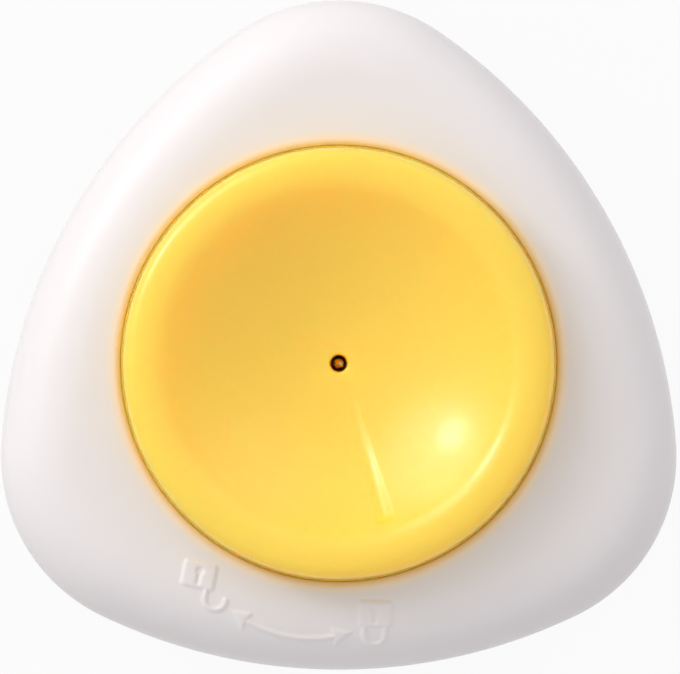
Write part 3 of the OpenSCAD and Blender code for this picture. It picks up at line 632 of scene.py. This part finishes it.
def makeNeedle():
    bm = bmesh.new()
    n = needle
    low, high = n["headZ"]
    wide, edge, thin = n["headRadius"], n["headEdge"], n["radius"]
    out, down = n["groundEdge"]
    noseZ = n["tipZ"] - n["noseRadius"]
    profile = [(0, low), (wide - edge, low), (wide, low + edge), (wide, high - edge), (wide - edge, high),
               (thin + edge, high), (thin, high + edge), (thin, n["shankZ"]), (thin, n["taperZ"]),
               (n["groundRadius"] + out, n["groundZ"] - down), (n["groundRadius"], n["groundZ"])]
    profile += arcPoints((0, noseZ), n["noseRadius"], n["noseFrom"], 90, n["noseSteps"])
    turned(bm, profile, n["steps"])
    for v in bm.verts:
        v.co.x += n["lean"] * smoothStep(n["groundZ"] - n["leanBelow"], noseZ, v.co.z / mm) * mm
    return finishPiece(bm, "pin_needle", "casing", "needle", finishes["steel"])


makeNeedle()
print("needle turned")

# return spring in mm, its stages as (turns, rise): a close coil at each end, three open ones between
spring = {
    "radius": 6.1, "wire": 0.9, "lowZ": 8.8, "stages": ((1, 1.5), (3, 9.39), (1, 1.5)),
    "turnSteps": 64, "sides": 16,
    "seatZ": 8.35, "keep": 0.624,  # share of its length that a full press leaves
}


def makeSpring():
    bm = bmesh.new()
    bmesh.ops.create_circle(bm, cap_ends=True, radius=spring["wire"] / 2 * mm, segments=spring["sides"])
    place = Matrix.Translation(Vector((spring["radius"], 0, spring["lowZ"])) * mm)
    bmesh.ops.transform(bm, matrix=place @ Matrix.Rotation(math.radians(90), 4, "X"), verts=bm.verts)
    loop = list(bm.verts) + list(bm.edges)
    for turns, rise in spring["stages"]:
        steps = turns * spring["turnSteps"]
        loop = bmesh.ops.spin(bm, geom=loop, cent=(0, 0, 0), axis=zAxis, dvec=zAxis * rise / steps * mm,
                              angle=turns * math.tau, steps=steps, use_merge=False)["geom_last"]
    bmesh.ops.contextual_create(bm, geom=edgesOf(loop))
    piece = finishPiece(bm, "coil_spring", "casing", "return_spring", finishes["steel"])
    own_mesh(piece)
    return piece


makeSpring()
print("spring wound")

# rubber strips under the base, each with a soft edge and a sunk middle, in mm
strips = {
    "wide": 3.5, "long": 22.0, "high": 1.4, "inset": 5.5, "sideSteps": 40, "endSteps": 14,
    "edge": 0.3, "edgeSteps": 4, "border": 0.5, "sink": 0.25,
}


def stripOutline():
    # bent along the side of the casing, with round ends
    half = strips["wide"] / 2
    mid = sideRadius - strips["inset"] - half
    turn = math.degrees((strips["long"] - strips["wide"]) / 2 / mid)
    centre = (-sideAt, 0)
    near, far = arcPoints(centre, mid, -turn, turn, 1)
    outline = arcPoints(centre, mid + half, -turn, turn, strips["sideSteps"])
    outline += arcPoints(far, half, turn, turn + 180, strips["endSteps"])[1:-1]
    outline += arcPoints(centre, mid - half, turn, -turn, strips["sideSteps"])
    outline += arcPoints(near, half, 180 - turn, 360 - turn, strips["endSteps"])[1:-1]
    return outline


def makeStrip(number):
    bm = bmesh.new()
    high, sink = strips["high"] * mm, strips["sink"] * mm
    upper = bm.faces.new([bm.verts.new(Vector((x, y, strips["high"])) * mm) for x, y in stripOutline()])
    grown = bmesh.ops.extrude_face_region(bm, geom=[upper])["geom"]
    bmesh.ops.translate(bm, vec=-zAxis * high, verts=vertsOf(grown))
    bmesh.ops.recalc_face_normals(bm, faces=bm.faces)
    low = [e for e in bm.edges if all(v.co.z < high / 2 for v in e.verts)]
    bmesh.ops.bevel(bm, geom=low, offset=strips["edge"] * mm, affect="EDGES", segments=strips["edgeSteps"],
                    profile=0.5, material=-1)
    downwards = [f for f in bm.faces if f.normal.z < -0.9]
    sole = max(downwards, key=lambda f: f.calc_area())
    bmesh.ops.inset_region(bm, faces=[sole], thickness=strips["border"] * mm, depth=0)
    bmesh.ops.inset_region(bm, faces=[sole], thickness=sink, depth=-sink)
    toSide = Matrix.Rotation(math.radians(30 + 120 * number), 3, "Z")
    bmesh.ops.rotate(bm, cent=(0, 0, 0), matrix=toSide, verts=bm.verts)
    return finishPiece(bm, "grip_strip_%d" % (number + 1), "casing", "foot_strip_%d" % (number + 1),
                       finishes["rubber"])


for number in range(3):
    makeStrip(number)
print("strips cut")

# round rubber pad over the magnet, in mm
pad = {"radius": 9.0, "high": 1.2, "edge": 0.4, "edgeSteps": 6, "rim": 7.8, "sink": 0.2, "steps": 120}


def makePad():
    bm = bmesh.new()
    wide, edge, rim, sink = pad["radius"], pad["edge"], pad["rim"], pad["sink"]
    profile = [(0, sink), (rim / 2, sink), (rim - sink, sink), (rim, 0)]
    profile += arcPoints((wide - edge, edge), edge, -90, 0, pad["edgeSteps"])
    profile += [(wide, pad["high"]), (0, pad["high"])]
    turned(bm, profile, pad["steps"])
    return finishPiece(bm, "rest_pad", "casing", "magnet_pad", finishes["rubber"])


makePad()
print("pad turned")

# pale floor, in metres, which keeps some of the shadow where the glow is below 1
floorLook = {"size": 3.0, "tone": (0.62, 0.62, 0.62, 1), "glow": 0.93}


def makeFloor():
    material = bpy.data.materials.new("paleFloor")
    material.use_nodes = True
    tree = material.node_tree
    tree.nodes.clear()
    out = addNode(tree, "OutputMaterial")
    diffuse = addNode(tree, "BsdfDiffuse", {"Color": floorLook["tone"]})
    glow = addNode(tree, "Emission", {"Color": (1, 1, 1, 1), "Strength": 1.0})
    path = addNode(tree, "LightPath")
    seen = addNode(tree, "Math", operation="MAXIMUM")
    seenToo = addNode(tree, "Math", operation="MAXIMUM")
    share = addNode(tree, "Math", {1: floorLook["glow"]}, operation="MULTIPLY")
    mix = addNode(tree, "MixShader")
    wire(tree,
         (path, "Is Camera Ray", seen, 0), (path, "Is Glossy Ray", seen, 1),
         (seen, "Value", seenToo, 0), (path, "Is Transmission Ray", seenToo, 1),
         (seenToo, "Value", share, 0), (share, "Value", mix, "Fac"),
         (diffuse, "BSDF", mix, 1), (glow, "Emission", mix, 2), (mix, "Shader", out, "Surface"))
    bm = bmesh.new()
    bmesh.ops.create_grid(bm, x_segments=1, y_segments=1, size=floorLook["size"] / 2)
    floor = intoScene("floor", meshFrom(bm, "floor", material))
    return floor


# round soft boxes in metres and watts, aimed from (turn, height) in degrees
lamps = {
    "keyLamp": {"aim": (148, 30), "far": 1.0, "size": 0.22, "power": 1.7, "tint": (1.0, 0.98, 0.95)},
    "wideLamp": {"aim": (136, 31), "far": 1.0, "size": 0.8, "power": 3.3, "tint": (1.0, 0.99, 0.97)},
    "fillLamp": {"aim": (52, 28), "far": 1.0, "size": 0.9, "power": 0.9, "tint": (1.0, 0.99, 0.98)},
}


def softBox(name, aim, far, size, power, tint):
    lamp = bpy.data.lights.new(name, "AREA")
    lamp.shape = "DISK"
    lamp.size = size
    lamp.energy = power
    lamp.color = tint
    holder = intoScene(name, lamp)
    turn, height = aim
    direction = polar(cosDeg(height), turn, sinDeg(height))
    holder.location = direction * far
    holder.rotation_euler = direction.to_track_quat("Z", "Y").to_euler()
    return holder


# even room light, a little stronger from one side
room = {"tone": (1.0, 0.99, 0.99, 1), "strength": 0.75, "lean": 0.08, "from": 138}


def makeRoom():
    world = bpy.data.worlds.new("studio")
    bpy.context.scene.world = world
    world.use_nodes = True
    tree = world.node_tree
    sky = tree.nodes["Background"]
    sky.inputs["Color"].default_value = room["tone"]
    looking = addNode(tree, "TexCoord")
    towards = addNode(tree, "VectorMath", {1: polar(room["lean"], room["from"])}, operation="DOT_PRODUCT")
    level = addNode(tree, "Math", {1: room["strength"]}, operation="ADD")
    wire(tree,
         (looking, "Generated", towards, 0), (towards, "Value", level, 0), (level, "Value", sky, "Strength"))


# straight down on the face, in mm, from so far that the sides stay hidden
view = {"at": (0.13, 2.56), "far": 2500.0, "faceZ": 20.0, "frameWide": 66.2, "sensor": 36.0, "clipEnd": 100.0}


def makeCamera():
    data = bpy.data.cameras.new("camera")
    data.sensor_width = view["sensor"]
    data.lens = view["sensor"] * view["far"] / view["frameWide"]
    data.clip_end = view["clipEnd"]  # metres
    camera = intoScene("camera", data)
    camera.location = Vector((*view["at"], view["far"] + view["faceZ"])) * mm
    bpy.context.scene.camera = camera


makeFloor()
for lampName, lampValues in lamps.items():
    softBox(lampName, **lampValues)
makeRoom()
makeCamera()
bpy.context.scene.view_settings.view_transform = "Standard"
print("stage set")
